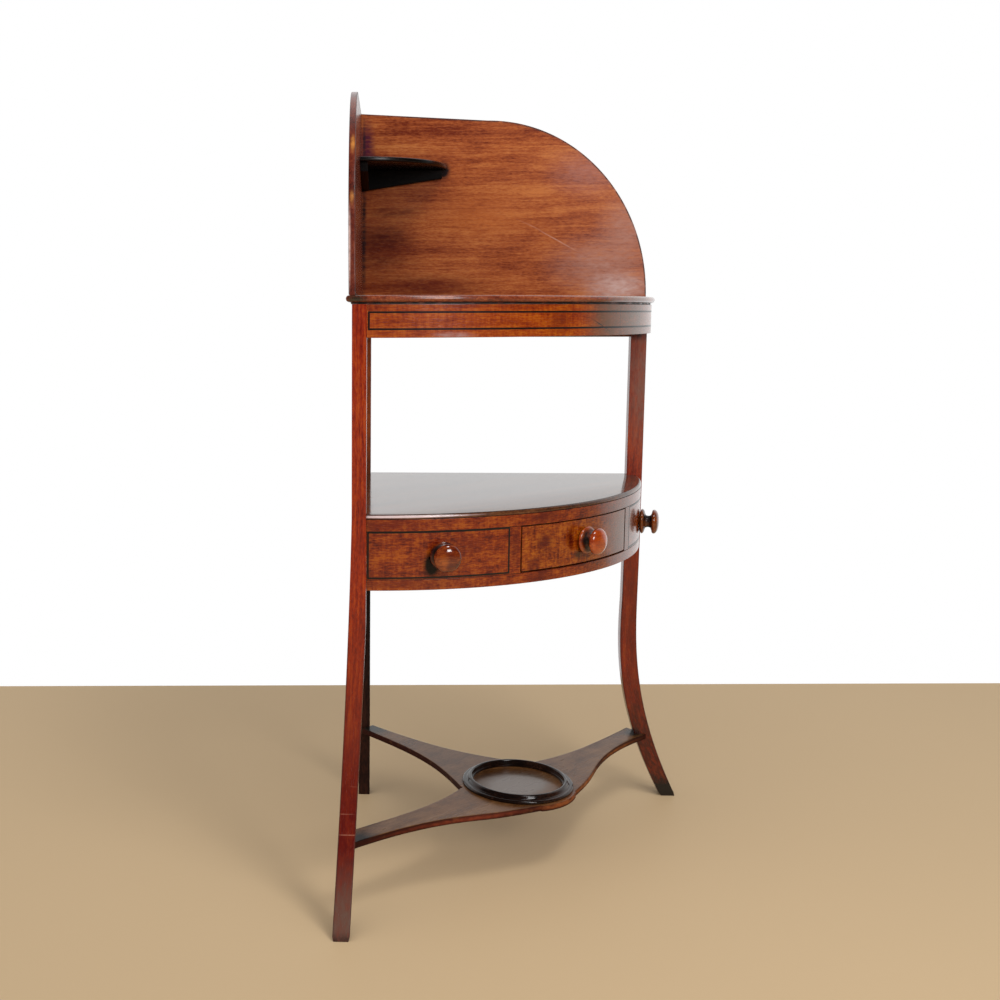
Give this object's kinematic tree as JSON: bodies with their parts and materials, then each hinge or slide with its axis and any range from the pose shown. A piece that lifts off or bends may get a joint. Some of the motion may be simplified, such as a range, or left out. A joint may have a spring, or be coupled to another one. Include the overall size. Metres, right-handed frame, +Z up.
{
  "type": "corner washstand",
  "caption": "Bow-front corner washstand with shaped back boards, a corner shelf, a string-inlaid frieze, a tier with a drawer and a Y-shaped stretcher with a ring.",
  "frame": {"origin": "on the floor, under the middle of the object's whole box", "axes": "+Z up; +Y towards the room corner that the stand fits, so -Y is the way the drawer opens; +X to the right as seen from the front"},
  "size_m": [0.785, 0.4934, 1.1187],
  "materials": {
    "red_mahogany": "red mahogany, French polished",
    "dark_mahogany": "dark stained mahogany, polished",
    "golden_mahogany": "orange-brown mahogany, polished",
    "ebony": "black stringing or black-stained wood",
    "drawer_oak": "dry unpolished oak",
    "rail_pine": "unpolished pine",
    "steel": "dull screw steel"
  },
  "bodies": {
    "stand": {"left_leg": "red_mahogany", "right_leg": "red_mahogany", "left_knob": "red_mahogany", "right_knob": "red_mahogany", "back_leg": "dark_mahogany", "left_rear_top_rail": "dark_mahogany", "right_rear_top_rail": "dark_mahogany", "corner_shelf": "dark_mahogany", "stretcher_platform": "dark_mahogany", "stretcher_ring": "dark_mahogany", "frieze_rail": "golden_mahogany", "top_board": "golden_mahogany", "left_back_board": "golden_mahogany", "right_back_board": "golden_mahogany", "tier_board": "golden_mahogany", "case_top_rail": "golden_mahogany", "case_bottom_rail": "golden_mahogany", "left_dummy_front": "golden_mahogany", "right_dummy_front": "golden_mahogany", "frieze_string": "ebony", "left_panel_string": "ebony", "right_panel_string": "ebony", "left_shelf_bearer": "ebony", "right_shelf_bearer": "ebony", "left_drawer_stop": "drawer_oak", "right_drawer_stop": "drawer_oak", "left_glue_block": "rail_pine", "middle_glue_block": "rail_pine", "right_glue_block": "rail_pine", "left_case_side": "rail_pine", "right_case_side": "rail_pine", "left_runner": "rail_pine", "right_runner": "rail_pine", "left_guide": "rail_pine", "right_guide": "rail_pine", "left_kicker": "rail_pine", "right_kicker": "rail_pine", "left_board_screw_1": "steel", "left_board_screw_2": "steel", "right_board_screw_1": "steel", "right_board_screw_2": "steel"},
    "drawer": {"drawer_front": "golden_mahogany", "drawer_left_side": "drawer_oak", "drawer_right_side": "drawer_oak", "drawer_back": "drawer_oak", "drawer_bottom": "drawer_oak", "drawer_knob": "red_mahogany"}
  },
  "joints": [
    {"name": "drawer_slide", "type": "slide", "parent": "stand", "child": "drawer", "axis": [0, -1, 0], "range_m": [0, 0.21]}
  ]
}
